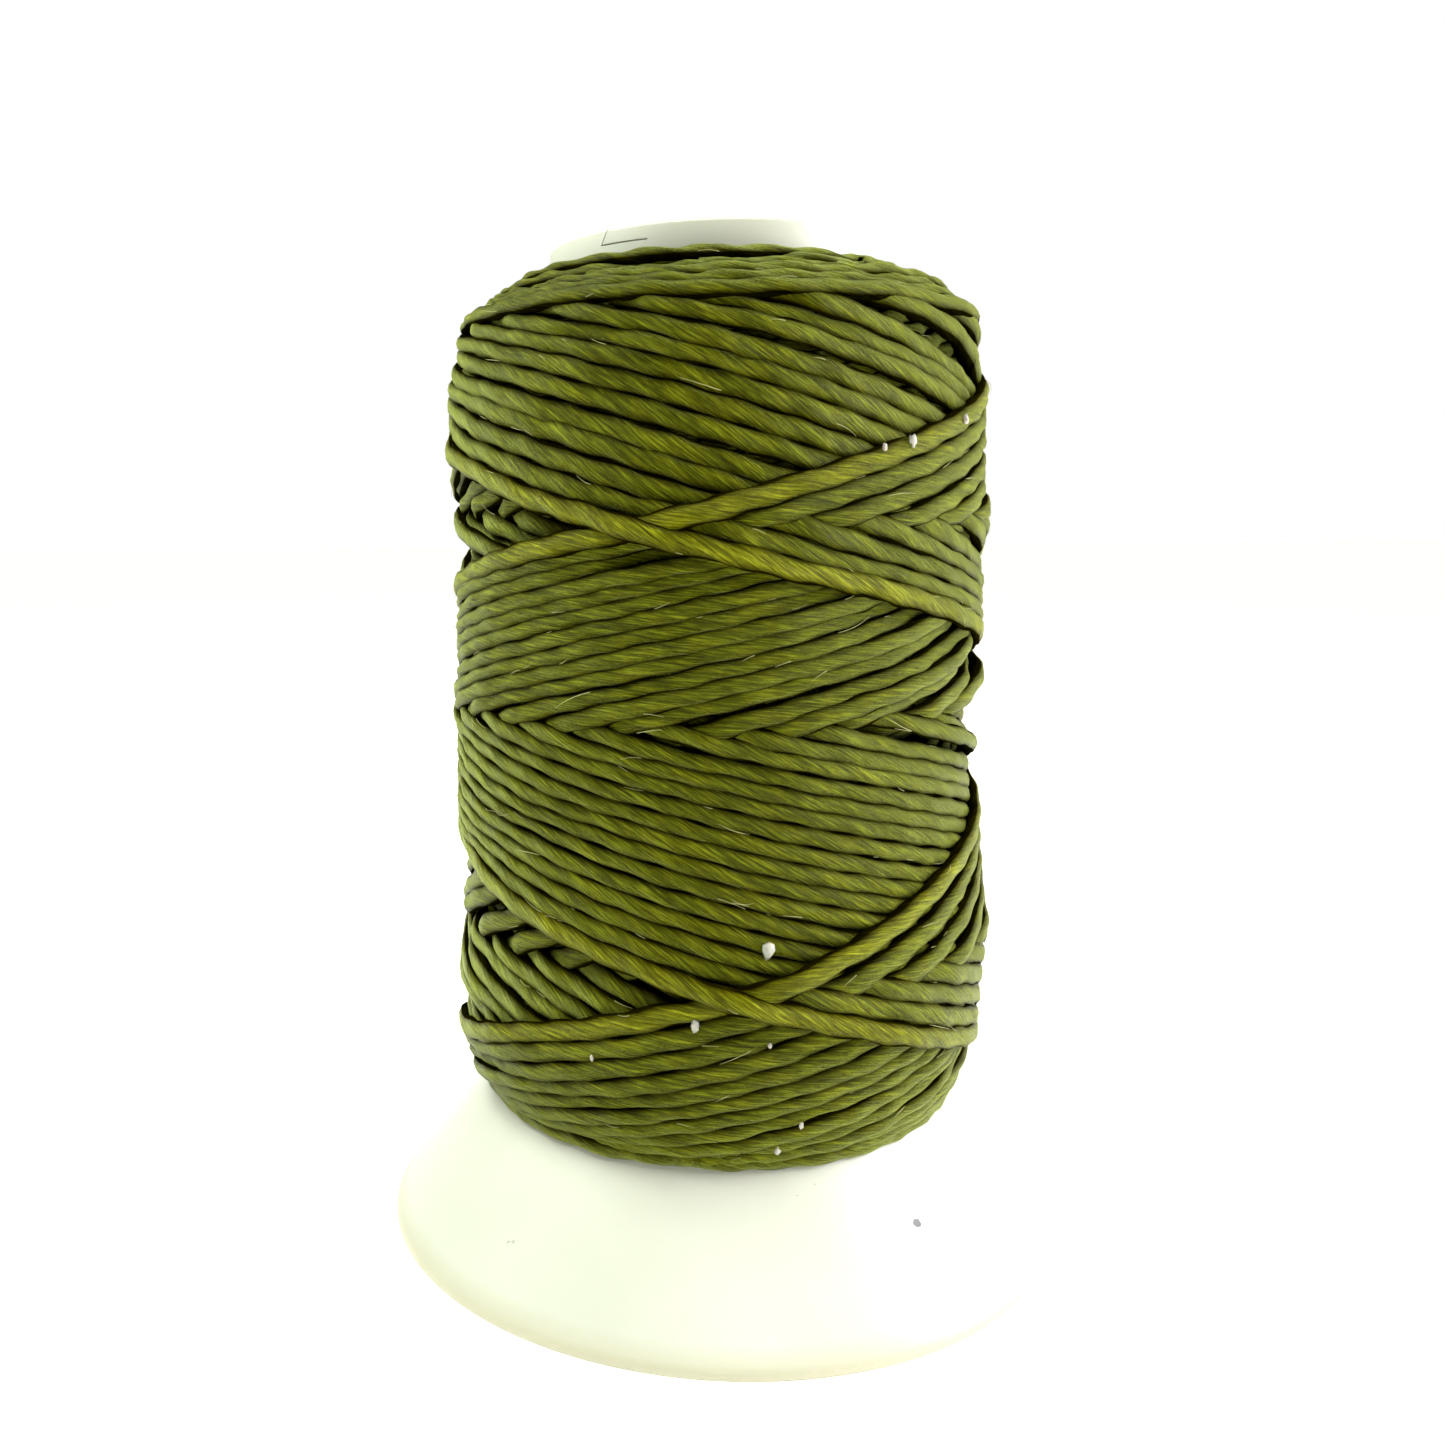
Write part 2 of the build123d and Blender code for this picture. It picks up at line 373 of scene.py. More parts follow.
def ring_points(keep, path, length, half_width, half_height, outward):
    """Points of a ring round each kept sample of the thread, with its plies and its roughness."""
    centre, s = path[keep], length[keep]
    ahead = unit(np.gradient(path, axis=0)[keep])
    side = unit(np.cross(ahead, outward[keep]))
    out = np.cross(side, ahead)
    psi = np.arange(RING) * 2 * math.pi / RING
    ropy = np.clip((centre[:, 2:3] - ROPY_FROM_Z) / ROPY_OVER, 0, 1)
    twist = psi[None, :] + 2 * math.pi * s[:, None] / PLY_LAY
    ply = 1 + PLY_DEPTH * (1 + ropy) * np.cos(2 * twist)
    rough = [slow_noise(s, ROUGH_SPACING, ROUGH_SEED + k) for k in range(RING)]
    ply += ROUGHNESS * np.stack(rough, axis=1)
    wide = half_width[keep, None] * np.cos(psi) * ply
    high = half_height[keep, None] * np.sin(psi) * ply
    return centre[:, None, :] + wide[..., None] * side[:, None, :] + high[..., None] * out[:, None, :]


def tube_mesh(name, points):
    """A closed tube through these rings of points."""
    rings = len(points)
    i = np.arange(rings - 1)[:, None]
    j = np.arange(RING)[None, :]
    after = (j + 1) % RING
    quads = np.stack(
        [i * RING + j, (i + 1) * RING + j, (i + 1) * RING + after, i * RING + after], axis=-1)
    quads = quads.reshape(-1, 4)
    caps = np.stack([np.arange(RING), (rings - 1) * RING + np.arange(RING)[::-1]])
    corners = np.concatenate([quads.ravel(), caps.ravel()])
    starts = np.concatenate([np.arange(len(quads)) * 4, len(quads) * 4 + np.array([0, RING])])
    rounded = np.concatenate([np.ones(len(quads), bool), [False, False]])

    mesh = bpy.data.meshes.new(name)
    mesh.vertices.add(rings * RING)
    mesh.vertices.foreach_set("co", (points.reshape(-1, 3) * MM).ravel())
    mesh.loops.add(len(corners))
    mesh.loops.foreach_set("vertex_index", corners)
    mesh.polygons.add(len(starts))
    mesh.polygons.foreach_set("loop_start", starts)
    mesh.update(calc_edges=True)
    mesh.polygons.foreach_set("use_smooth", rounded)
    return mesh


def set_map(mesh, name, quad_corners, cap_corners):
    """Adds a map to a tube: the corners of its quads first, then those of its two caps."""
    uv = mesh.uv_layers.new(name=name)
    corners = np.concatenate([quad_corners.reshape(-1, 2), cap_corners])
    uv.data.foreach_set("uv", corners.ravel())


def add_maps(mesh, s, half_width, half_height):
    """A map of the thread's length and girth, and the same strip cut into rows to bake into."""
    i = np.arange(len(s) - 1)[:, None]
    girth = (np.array([0, 0, 1, 1]) + np.arange(RING)[None, :, None]) / RING
    u = np.stack([s[i], s[i + 1], s[i + 1], s[i]], axis=-1) / UV_LENGTH + 0 * girth
    v = girth + 0 * u
    cap_u = np.repeat([s[0] / UV_LENGTH, s[-1] / UV_LENGTH], RING)
    cap_v = np.tile(np.arange(RING) / RING, 2)
    caps = np.stack([cap_u, cap_v], axis=-1)
    set_map(mesh, "thread", np.stack([u, v], axis=-1), caps)

    mean_square = (half_width.mean() ** 2 + half_height.mean() ** 2) / 2
    round_it = 2 * math.pi * math.sqrt(mean_square)
    total = s[-1] - s[0]
    rows = max(1, round(math.sqrt(total / (round_it * (1 + BAKE_GAP)))))
    place = (s - s[0]) / total * rows
    row = np.minimum((0.5 * (place[:-1] + place[1:])).astype(int), rows - 1)[:, None]
    x0, x1 = (place[:-1, None] - row).clip(0, 1), (place[1:, None] - row).clip(0, 1)
    across = (row[..., None] + BAKE_GAP / 2 + girth * (1 - BAKE_GAP)) / rows
    x = np.stack([x0, x1, x1, x0], axis=-1) + 0 * across
    set_map(mesh, "OFBake", np.stack([x, across + 0 * x], axis=-1), np.zeros_like(caps))
    mesh.uv_layers.active = mesh.uv_layers["thread"]
    mesh.uv_layers["thread"].active_render = True


def make_strand(name, keep, path, length, half_width, half_height, outward):
    """A mesh piece of the thread through the kept samples. Returns it and its centreline."""
    mesh = tube_mesh(name, ring_points(keep, path, length, half_width, half_height, outward))
    add_maps(mesh, length[keep], half_width[keep], half_height[keep])
    mesh.validate()
    mesh.update()
    piece = bpy.data.objects.new(name, mesh)
    bpy.context.collection.objects.link(piece)
    return piece, path[keep] * MM


def strand_sizes(angle, height, length):
    """Half width and half height along the thread: as wide as the turns are apart, and uneven."""
    pitch = CYCLE_LAG * np.abs(smooth(np.gradient(height, angle), PITCH_REACH))
    half_width = np.clip(WIDTH_PER_PITCH * pitch, HALF_WIDTH, WIDEST)
    half_width = half_width * (1 + UNEVEN * slow_noise(length, WIDTH_SPACING, WIDTH_SEED))
    free = np.clip((angle - angle[-1] + FREE_CYCLES * CYCLE) / FREE_BLEND, 0, 1)
    half_width = half_width * (1 - free) + WIDEST * free
    return half_width, HALF_HEIGHT * (1 + UNEVEN * slow_noise(length, HEIGHT_SPACING, HEIGHT_SEED))


def outermost(angle, height, radius, half_width, half_height):
    """Map of the finished surface's radius, by azimuth and height, and the cell of each sample."""
    cells = (np.round(angle / STEP).astype(int) % round(TURN / STEP),
             np.round((height - Z_LOW) / Z_STEP).astype(int))
    top = np.zeros((round(TURN / STEP), round((Z_HIGH - Z_LOW) / Z_STEP)))
    for offset in range(-REACH_CELLS, REACH_CELLS + 1):
        across = np.abs(offset * Z_STEP / half_width)
        crest = radius + half_height * np.sqrt(np.clip(1 - across ** 2, 0, 1))
        np.maximum.at(top, (cells[0], cells[1] + offset), np.where(across < 1, crest, 0))
    return top, cells


def make_thread(look, last_look):
    """Winds the thread and makes its pieces. Returns a map of the outermost surface, and the strand."""
    angle, height, radius = wind()
    turn = np.radians(angle)
    radial = np.stack([np.sin(turn), -np.cos(turn), 0 * turn], axis=1)
    upward = np.array([0, 0, 1])
    path = radial * radius[:, None] + upward * height[:, None]
    length = along_path(path)
    print("thread length, mm:", round(length[-1]))
    slope = full_radius(height + SLOPE_REACH) - full_radius(height - SLOPE_REACH)
    tilt = np.arctan(np.clip(-slope / (2 * SLOPE_REACH), SLOPE_LOW, SLOPE_HIGH))
    outward = radial * np.cos(tilt)[:, None] + upward * np.sin(tilt)[:, None]
    half_width, half_height = strand_sizes(angle, height, length)

    last = len(angle) - 1
    fine_from = last - round(FINE_CYCLES * CYCLE / STEP)
    free_from = last - round(FREE_CYCLES * CYCLE / STEP)
    index = np.arange(len(angle))
    shown = index % FINE_EVERY == 0
    near_ends = (height > FINE_ABOVE) | (height < FINE_BELOW)
    hidden = (index % COARSE_EVERY == 0) | (near_ends & shown)
    cuts = [0] + [round(c) for c in np.linspace(fine_from, free_from, FINE_PIECES + 1)] + [last]
    for number, (a, b) in enumerate(zip(cuts[:-1], cuts[1:])):
        keep = (hidden if number == 0 else shown) & (index > a) & (index < b)
        keep[[a, b]] = True
        name = f"thread_outer_layers_{number}"
        if number == 0:
            name = "thread_inner_layers"
        if b == last:
            name = "thread_last_turns"
        piece, centres = make_strand(
            name, np.flatnonzero(keep), path, length, half_width, half_height, outward)
        piece.data.materials.append(last_look if b == last else look)
        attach(piece, "root")
        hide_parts("thread_winding")
    top, cells = outermost(angle, height, radius, half_width, half_height)
    seen = (radius + half_height > top[cells] - SEEN_DEPTH) & (index > fine_from)
    return top, (path, outward, half_width, half_height, seen)


# ---------------------------------------------------------------------------------------------
# Loose fibres and crumbs of wax
FIBRE_SEED, CRUMB_SEED = 31, 41
FIBRE_COUNT = 420
FIBRE_RADIUS, FIBRE_TAPER = 0.022, 0.6
FIBRE_RINGS, FIBRE_SIDES = 6, 4
FIBRE_ROOTS = ((20, 60), (120, 160))    # degrees round the strand, on either flank of its crest
FIBRE_REACHES = (0.4, 1.3)
FIBRE_STRETCHES = (1, 1, 1, 2)          # one in four is twice as long
FIBRE_LIFTS = (0.05, 0.22)   # how far it stands off, as a share of its reach
FIBRE_SWAY = 0.35            # how far it leans sideways at most, as a share of its reach
FIBRE_CURL = 2.2             # radians of the sine it rises and falls along
FIBRE_ROOT_DEPTH = 0.03
CRUMBS = (                   # crumbs of wax: azimuth, height and size
    (10.1, 22.9, 0.95),
    (-3.4, 18.5, 0.80),
    (39.2, 52.0, 0.75),
    (56.6, 53.4, 0.60),
    (32.6, 51.6, 0.45),
    (10.4, 17.3, 0.35),
    (17.3, 12.1, 0.40),
    (12.6, 10.6, 0.45),
    (-24.0, 15.7, 0.35),
    (150.0, 40.0, 0.70),
    (-140.0, 25.0, 0.60),
    (110.0, 18.0, 0.50),
)
CRUMB_RINGS, CRUMB_SIDES = 7, 10
CRUMB_FLAT, CRUMB_NARROW = 0.5, 0.7     # its thickness and its width, as shares of its size
CRUMB_UNEVEN = 0.20
CRUMB_LIFT = 0.12            # how far its middle is outside the strands, as a share of its size


def mesh_piece(name, points, faces, look):
    """A smooth mesh piece from points in millimetres, fixed to the spool."""
    mesh = bpy.data.meshes.new(name)
    mesh.from_pydata([tuple(p) for p in np.asarray(points) * MM], [], [tuple(f) for f in faces])
    mesh.validate()
    mesh.polygons.foreach_set("use_smooth", [True] * len(mesh.polygons))
    mesh.materials.append(look)
    piece = bpy.data.objects.new(name, mesh)
    bpy.context.collection.objects.link(piece)
    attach(piece, "root")
    return piece


def make_fibres(strand, look):
    """Short broken fibres that stand off the outermost strands."""
    path, outward, half_width, half_height, seen = strand
    draw = np.random.default_rng(FIBRE_SEED)
    ahead = unit(np.gradient(path, axis=0))
    points, faces = [], []
    for at in draw.choice(np.flatnonzero(seen), FIBRE_COUNT, replace=False):
        side = np.cross(ahead[at], outward[at])
        psi = math.radians(draw.choice([draw.uniform(*roots) for roots in FIBRE_ROOTS]))
        start = (path[at] + side * half_width[at] * math.cos(psi)
                 + outward[at] * half_height[at] * math.sin(psi))
        reach = draw.uniform(*FIBRE_REACHES) * draw.choice(FIBRE_STRETCHES)
        lift = draw.uniform(*FIBRE_LIFTS) * reach
        sway = draw.uniform(-FIBRE_SWAY, FIBRE_SWAY) * reach
        way = draw.choice([-1, 1])
        first = len(points)
        for ring in range(FIBRE_RINGS):
            share = ring / (FIBRE_RINGS - 1)
            centre = (start + ahead[at] * way * reach * share + side * sway * share ** 2
                      + outward[at] * (lift * math.sin(FIBRE_CURL * share) - FIBRE_ROOT_DEPTH))
            thin = FIBRE_RADIUS * (1 - FIBRE_TAPER * share)
            for corner in range(FIBRE_SIDES):
                turn = 2 * math.pi * corner / FIBRE_SIDES
                spoke = side * math.cos(turn) + outward[at] * math.sin(turn)
                points.append(centre + thin * spoke)
        for ring in range(FIBRE_RINGS - 1):
            for corner in range(FIBRE_SIDES):
                a = first + ring * FIBRE_SIDES + corner
                b = first + ring * FIBRE_SIDES + (corner + 1) % FIBRE_SIDES
                faces.append((a, b, b + FIBRE_SIDES, a + FIBRE_SIDES))
        last_ring = first + (FIBRE_RINGS - 1) * FIBRE_SIDES
        faces.append(tuple(range(first + FIBRE_SIDES - 1, first - 1, -1)))
        faces.append(tuple(range(last_ring, last_ring + FIBRE_SIDES)))
    mesh_piece("loose_fibres", points, faces, look)


def crumb(centre, size, outward, draw):
    """An uneven lump: a sphere of rings, squashed along one direction."""
    across = unit(np.cross(outward, (0.0, 0.0, 1.0)))
    up = np.cross(across, outward)
    half_thick = outward * size * CRUMB_FLAT / 2
    points = [centre - half_thick]
    for ring in range(1, CRUMB_RINGS):
        low = math.pi * ring / CRUMB_RINGS
        for side in range(CRUMB_SIDES):
            turn = 2 * math.pi * side / CRUMB_SIDES
            wide = size / 2 * math.sin(low) * (1 + draw.normal(0, CRUMB_UNEVEN))
            points.append(centre + across * CRUMB_NARROW * wide * math.cos(turn)
                          + up * wide * math.sin(turn) - half_thick * math.cos(low))
    points.append(centre + half_thick)
    end = len(points) - 1
    last_ring = 1 + (CRUMB_RINGS - 2) * CRUMB_SIDES
    faces = []
    for side in range(CRUMB_SIDES):
        after = (side + 1) % CRUMB_SIDES
        faces.append((0, 1 + after, 1 + side))
        for a in range(1, last_ring, CRUMB_SIDES):
            faces.append((a + side, a + after, a + CRUMB_SIDES + after, a + CRUMB_SIDES + side))
        faces.append((last_ring + side, last_ring + after, end))
    return points, faces


def make_crumbs(top, look):
    """Crumbs of white wax caught on the thread."""
    draw = np.random.default_rng(CRUMB_SEED)
    points, faces = [], []
    for azimuth, z, size in CRUMBS:
        column = round(azimuth / STEP) % round(TURN / STEP)
        row = round((z - Z_LOW) / Z_STEP)
        radius = top[column - 1:column + 2, row - 2:row + 3].max()
        turn = math.radians(azimuth)
        outward = np.array([math.sin(turn), -math.cos(turn), 0.0])
        centre = outward * (radius + CRUMB_LIFT * size) + np.array([0, 0, z])
        more_points, more_faces = crumb(centre, size, outward, draw)
        faces += [tuple(len(points) + i for i in face) for face in more_faces]
        points += more_points
    mesh_piece("wax_crumbs", points, faces, look)


# ---------------------------------------------------------------------------------------------
# Materials
def nodes_of(name):
    """A new material, its nodes and its links."""
    material = bpy.data.materials.new(name)
    material.use_nodes = True
    return material, material.node_tree.nodes, material.node_tree.links


def math_node(nodes, links, operation, *values):
    node = nodes.new("ShaderNodeMath")
    node.operation = operation
    for socket, value in zip(node.inputs, values):
        if isinstance(value, (int, float)):
            socket.default_value = value
        else:
            links.new(value, socket)
    return node.outputs[0]


def noise_node(nodes, links, place, scale, detail=2.0, rough=0.5):
    node = nodes.new("ShaderNodeTexNoise")
    node.inputs["Scale"].default_value = scale
    node.inputs["Detail"].default_value = detail
    node.inputs["Roughness"].default_value = rough
    links.new(place, node.inputs["Vector"])
    return node.outputs["Fac"]


def ramp_node(nodes, links, value, stops):
    node = nodes.new("ShaderNodeValToRGB")
    elements = node.color_ramp.elements
    while len(elements) < len(stops):
        elements.new(0.5)
    for element, (position, colour) in zip(elements, stops):
        element.position = position
        element.color = (*colour, 1.0)
    links.new(value, node.inputs["Fac"])
    return node.outputs["Color"]


def range_node(nodes, links, value, low, high):
    """From 0 where the value is low to 1 where it is high."""
    node = nodes.new("ShaderNodeMapRange")
    node.inputs["From Min"].default_value = low
    node.inputs["From Max"].default_value = high
    links.new(value, node.inputs["Value"])
    return node.outputs[0]


def bump_node(nodes, links, height, strength, distance):
    node = nodes.new("ShaderNodeBump")
    node.inputs["Strength"].default_value = strength
    node.inputs["Distance"].default_value = distance
    links.new(height, node.inputs["Height"])
    return node.outputs["Normal"]


def mix_node(nodes, links, factor, a, b, blend="MIX"):
    """Mixes two colours. The mix node takes them at its sockets 6 and 7 and gives one at 2."""
    node = nodes.new("ShaderNodeMix")
    node.data_type = "RGBA"
    node.blend_type = blend
    for socket, value in ((node.inputs[0], factor), (node.inputs[6], a), (node.inputs[7], b)):
        if isinstance(value, (int, float)):
            socket.default_value = value
        elif isinstance(value, tuple):
            socket.default_value = (*value, 1.0)
        else:
            links.new(value, socket)
    return node.outputs[2]


FIBRE_LAY = 10.5             # length of one turn of the fibres
FIBRES_ROUND = 5.5           # noise units from the thread's middle, so the fibres round it
FIBRES_ALONG = 6.5           # noise units in a centimetre of thread
OLIVE_DARK = (0.013, 0.011, 0.0001)
OLIVE = (0.079, 0.086, 0.0004)
OLIVE_LIGHT = (0.260, 0.300, 0.012)
VALLEY_PAINTED_SHADE = (0.060, 0.046, 0.004)   # painted shade: the colour that is left between two strands, where shade falls
FLANK_PAINTED_SHADE = (0.56, 0.51, 0.28)       # and the lighter painted shade on a strand's flank
CREST = (1.0, 1.0, 1.0)
PATCH_DARK, PATCH_LIGHT = (0.70, 0.70, 0.70), (1.25, 1.22, 1.30)
WAX_FROM, WAX_TO = 0.50, 0.90    # the wax's sheen and specular are kept to the crests and taken off between strands as painted shade: sines of the way round a strand
WAX_SPECULAR = 0.13
PLAIN_TINT = (1.0, 1.0, 1.0)
LAST_TURNS_TINT = (1.45, 1.38, 1.20)     # the last turns are lighter, as nothing has rubbed on them


def thread_material(name, tint):
    """Olive waxed polyester: twisted fibres, darker between them, under a thin coat of wax, with
    painted shade between two strands.
    """
    material, nodes, links = nodes_of(name)
    shader = nodes["Principled BSDF"]
    uv = nodes.new("ShaderNodeUVMap")
    uv.uv_map = "thread"
    split = nodes.new("ShaderNodeSeparateXYZ")
    links.new(uv.outputs["UV"], split.inputs[0])
    along, girth = split.outputs[0], split.outputs[1]
    twist = math_node(nodes, links, "MULTIPLY", along, UV_LENGTH / FIBRE_LAY)
    turned = math_node(nodes, links, "ADD", girth, twist)
    turned = math_node(nodes, links, "MULTIPLY", turned, 2 * math.pi)
    place = nodes.new("ShaderNodeCombineXYZ")
    for socket, operation in zip(place.inputs, ("COSINE", "SINE")):
        part = math_node(nodes, links, operation, turned)
        links.new(math_node(nodes, links, "MULTIPLY", part, FIBRES_ROUND), socket)
    links.new(math_node(nodes, links, "MULTIPLY", along, FIBRES_ALONG), place.inputs[2])
    fibres = noise_node(nodes, links, place.outputs[0], 1.0, 5.0, 0.70)
    patches = noise_node(nodes, links, place.outputs[0], 0.22, 2.0, 0.5)

    colour = ramp_node(nodes, links, fibres, (
        (0.30, OLIVE_DARK), (0.50, OLIVE), (0.72, OLIVE_LIGHT)))
    shade = ramp_node(nodes, links, patches, ((0.32, PATCH_DARK), (0.68, PATCH_LIGHT)))
    colour = mix_node(nodes, links, 1.0, colour, shade, "MULTIPLY")
    around = math_node(nodes, links, "MULTIPLY", girth, 2 * math.pi)
    facing_out = math_node(nodes, links, "SINE", around)
    # Painted shade: the colour darkens from each strand's crest towards the valleys between strands.
    painted_strand_shade = ramp_node(nodes, links, facing_out, ((0.42, VALLEY_PAINTED_SHADE), (0.72, FLANK_PAINTED_SHADE), (0.94, CREST)))
    colour = mix_node(nodes, links, 1.0, colour, painted_strand_shade, "MULTIPLY")
    colour = mix_node(nodes, links, 1.0, colour, tint, "MULTIPLY")
    links.new(colour, shader.inputs["Base Color"])
    shader.inputs["Roughness"].default_value = 0.34
    # Painted shade: the wax's sheen and specular fade out towards the valleys between strands.
    wax = range_node(nodes, links, facing_out, WAX_FROM, WAX_TO)
    specular = math_node(nodes, links, "MULTIPLY", wax, WAX_SPECULAR)
    links.new(specular, shader.inputs["Specular IOR Level"])
    links.new(wax, shader.inputs["Sheen Weight"])
    shader.inputs["Specular Tint"].default_value = (0.76, 0.88, 0.28, 1.0)
    shader.inputs["Sheen Roughness"].default_value = 0.20
    shader.inputs["Sheen Tint"].default_value = (0.76, 0.88, 0.23, 1.0)
    links.new(bump_node(nodes, links, fibres, 1.0, 0.00016), shader.inputs["Normal"])
    return material


FIBRE_COLOUR = (0.52, 0.52, 0.20)
WAX_COLOUR = (0.46, 0.46, 0.39)


def plain_material(name, colour, rough, clear=0.0):
    """One colour with fine grain: the broken fibres and the wax."""
    material, nodes, links = nodes_of(name)
    shader = nodes["Principled BSDF"]
    place = nodes.new("ShaderNodeTexCoord")
    grain = noise_node(nodes, links, place.outputs["Object"], 4000.0, 2.0, 0.6)
    dark = tuple(0.75 * c for c in colour)
    mottled = ramp_node(nodes, links, grain, ((0.35, dark), (0.65, colour)))
    links.new(mottled, shader.inputs["Base Color"])
    shader.inputs["Roughness"].default_value = rough
    shader.inputs["Subsurface Weight"].default_value = clear
    shader.inputs["Subsurface Scale"].default_value = 0.0006
    return material


IVORY_DARK, IVORY_LIGHT = (0.58, 0.59, 0.49), (0.62, 0.63, 0.53)
RIM_COLOUR = (0.52, 0.50, 0.36)
IVORY_FROM, RIM_TO = 0.0016, 0.0004     # heights in metres between which the two colours mix
MARKS = (                    # scuffs and dust on the foot: azimuth, height, size and darkness
    (41.0, 5.3, 0.60, 1.0),
    (-38.9, 3.6, 0.22, 0.4),
    (-37.9, 3.75, 0.16, 0.3),
    (17.2, 7.6, 0.14, 0.3),
    (21.5, 8.0, 0.12, 0.3),
    (33.0, 2.0, 0.14, 0.3),
    (160.0, 4.0, 0.30, 0.5),
    (-110.0, 6.0, 0.20, 0.4),
)
MARK_COLOUR = (0.05, 0.05, 0.05)
MARK_UNEVEN = 0.0004         # in metres


def plastic_material():
    """Ivory moulded plastic, darker and creamier towards the bottom of the foot, with faint flow marks.
    """
    material, nodes, links = nodes_of("spool_plastic_look")
    shader = nodes["Principled BSDF"]
    place = nodes.new("ShaderNodeTexCoord")
    cloud = noise_node(nodes, links, place.outputs["Object"], 90.0, 3.0, 0.55)
    grain = noise_node(nodes, links, place.outputs["Object"], 2600.0, 2.0, 0.6)
    split = nodes.new("ShaderNodeSeparateXYZ")
    links.new(place.outputs["Object"], split.inputs[0])
    low = range_node(nodes, links, split.outputs[2], IVORY_FROM, RIM_TO)
    ivory = ramp_node(nodes, links, cloud, ((0.35, IVORY_DARK), (0.65, IVORY_LIGHT)))
    colour = mix_node(nodes, links, low, ivory, RIM_COLOUR)
    uneven = noise_node(nodes, links, place.outputs["Object"], 5000.0, 1.0, 0.5)
    uneven = math_node(nodes, links, "MULTIPLY", uneven, MARK_UNEVEN)
    for azimuth, z, size, darkness in MARKS:
        turn = math.radians(azimuth)
        radius = bare_radius(z)
        centre = Vector((radius * math.sin(turn), -radius * math.cos(turn), z)) * MM
        away = nodes.new("ShaderNodeVectorMath")
        away.operation = "DISTANCE"
        away.inputs[1].default_value = centre
        links.new(place.outputs["Object"], away.inputs[0])
        edge = math_node(nodes, links, "ADD", away.outputs["Value"], uneven)
        inside = math_node(nodes, links, "LESS_THAN", edge, (size / 2) * MM + MARK_UNEVEN / 2)
        strength = math_node(nodes, links, "MULTIPLY", inside, darkness)
        colour = mix_node(nodes, links, strength, colour, MARK_COLOUR)
    links.new(colour, shader.inputs["Base Color"])
    shader.inputs["Roughness"].default_value = 0.42
    shader.inputs["Subsurface Weight"].default_value = 0.25
    shader.inputs["Subsurface Radius"].default_value = (1.0, 0.9, 0.7)
    shader.inputs["Subsurface Scale"].default_value = 0.0012
    links.new(bump_node(nodes, links, grain, 0.15, 0.00004), shader.inputs["Normal"])
    return material


# ---------------------------------------------------------------------------------------------
# Studio, in metres: a white floor and a white light tent, dim at the front, with three lights
FLOOR_REACH = 3.0
FRONT_LIGHT, TENT_LIGHT = 0.05, 0.20
SPOOL_MIDDLE = (0, 0, 0.035)
LEFT_PLACE, LEFT_SIZE, LEFT_POWER = (-0.13, -0.01, 0.21), (0.12, 0.12), 0.64
LEFT_COLOUR = (0.93, 1.0, 0.90)
RIGHT_PLACE, RIGHT_SIZE, RIGHT_POWER = (0.28, 0.00, 0.14), (0.20, 0.20), 1.65
RIGHT_COLOUR = (1.0, 1.0, 1.0)
SUN_POWER, SUN_SPREAD, SUN_LEAN = 1.42, 25, 22      # the last two in degrees


def make_floor():
    material, nodes, _ = nodes_of("floor")
    shader = nodes["Principled BSDF"]
    shader.inputs["Base Color"].default_value = (0.95, 0.95, 0.94, 1.0)
    shader.inputs["Emission Color"].default_value = (1.0, 0.97, 0.86, 1.0)
    shader.inputs["Emission Strength"].default_value = 0.55
    shader.inputs["Roughness"].default_value = 0.7
    mesh = bpy.data.meshes.new("floor")
    r = FLOOR_REACH
    mesh.from_pydata([(-r, -r, 0), (r, -r, 0), (r, r, 0), (-r, r, 0)], [], [(0, 1, 2, 3)])
    mesh.materials.append(material)
    floor = bpy.data.objects.new("floor", mesh)
    bpy.context.collection.objects.link(floor)


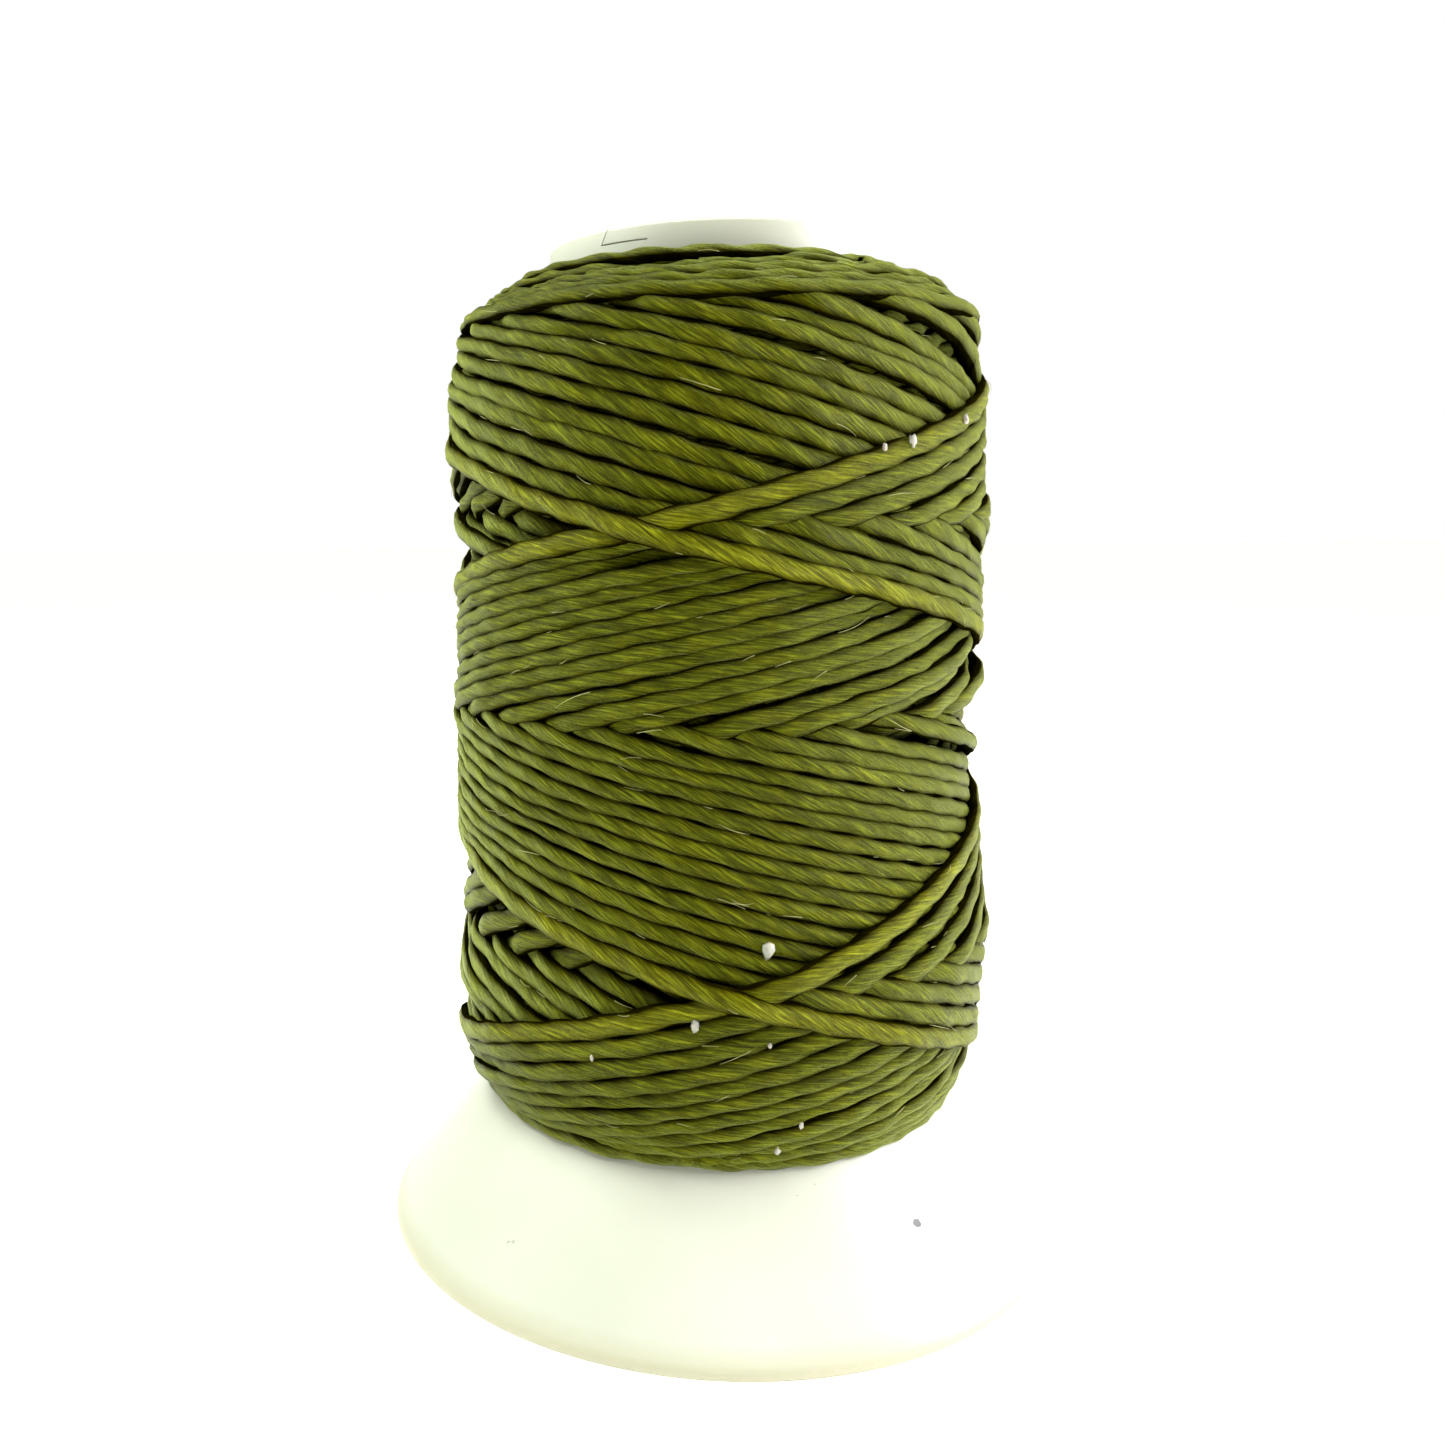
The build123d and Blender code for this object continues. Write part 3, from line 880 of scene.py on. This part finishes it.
def make_tent():
    """Light from all round, dim at the front. The camera itself sees plain white."""
    world = bpy.data.worlds.new("studio")
    world.use_nodes = True
    bpy.context.scene.world = world
    nodes, links = world.node_tree.nodes, world.node_tree.links
    background = nodes["Background"]
    background.inputs["Color"].default_value = (1.0, 1.0, 1.0, 1.0)
    place = nodes.new("ShaderNodeTexCoord")
    split = nodes.new("ShaderNodeSeparateXYZ")
    links.new(place.outputs["Generated"], split.inputs[0])
    open_front = nodes.new("ShaderNodeMapRange")
    open_front.interpolation_type = "SMOOTHSTEP"
    open_front.inputs["From Min"].default_value = -0.95
    open_front.inputs["From Max"].default_value = 0.15
    open_front.inputs["To Min"].default_value = FRONT_LIGHT
    open_front.inputs["To Max"].default_value = TENT_LIGHT
    links.new(split.outputs[1], open_front.inputs["Value"])
    path = nodes.new("ShaderNodeLightPath")
    seen = nodes.new("ShaderNodeMix")
    links.new(path.outputs["Is Camera Ray"], seen.inputs[0])
    links.new(open_front.outputs[0], seen.inputs[2])
    seen.inputs[3].default_value = 1.0
    links.new(seen.outputs[0], background.inputs["Strength"])


def area_light(name, place, size, power, colour):
    """A square light that faces the spool."""
    data = bpy.data.lights.new(name, "AREA")
    data.shape = "RECTANGLE"
    data.size, data.size_y = size
    data.energy = power
    data.color = colour
    light = bpy.data.objects.new(name, data)
    light.location = place
    aim = Vector(SPOOL_MIDDLE) - Vector(place)
    light.rotation_euler = aim.to_track_quat("-Z", "Y").to_euler()
    bpy.context.collection.objects.link(light)


def make_sun():
    data = bpy.data.lights.new("above", "SUN")
    data.energy = SUN_POWER
    data.angle = math.radians(SUN_SPREAD)
    sun = bpy.data.objects.new("above", data)
    sun.rotation_euler = (math.radians(SUN_LEAN), 0, 0)
    bpy.context.collection.objects.link(sun)


def make_studio():
    make_floor()
    make_tent()
    area_light("left", LEFT_PLACE, LEFT_SIZE, LEFT_POWER, LEFT_COLOUR)
    area_light("right", RIGHT_PLACE, RIGHT_SIZE, RIGHT_POWER, RIGHT_COLOUR)
    make_sun()
    bpy.context.scene.view_settings.view_transform = "Standard"
    bpy.context.scene.view_settings.look = "None"


make_camera()
make_studio()
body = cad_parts["spool_body"]
body.data.materials.clear()
body.data.materials.append(plastic_material())
surface_map, outer_strand = make_thread(
    thread_material("thread_look", PLAIN_TINT),
    thread_material("last_turns_look", LAST_TURNS_TINT),
)
make_fibres(outer_strand, plain_material("broken_fibre", FIBRE_COLOUR, rough=0.5))
make_crumbs(surface_map, plain_material("wax", WAX_COLOUR, rough=0.35, clear=0.3))
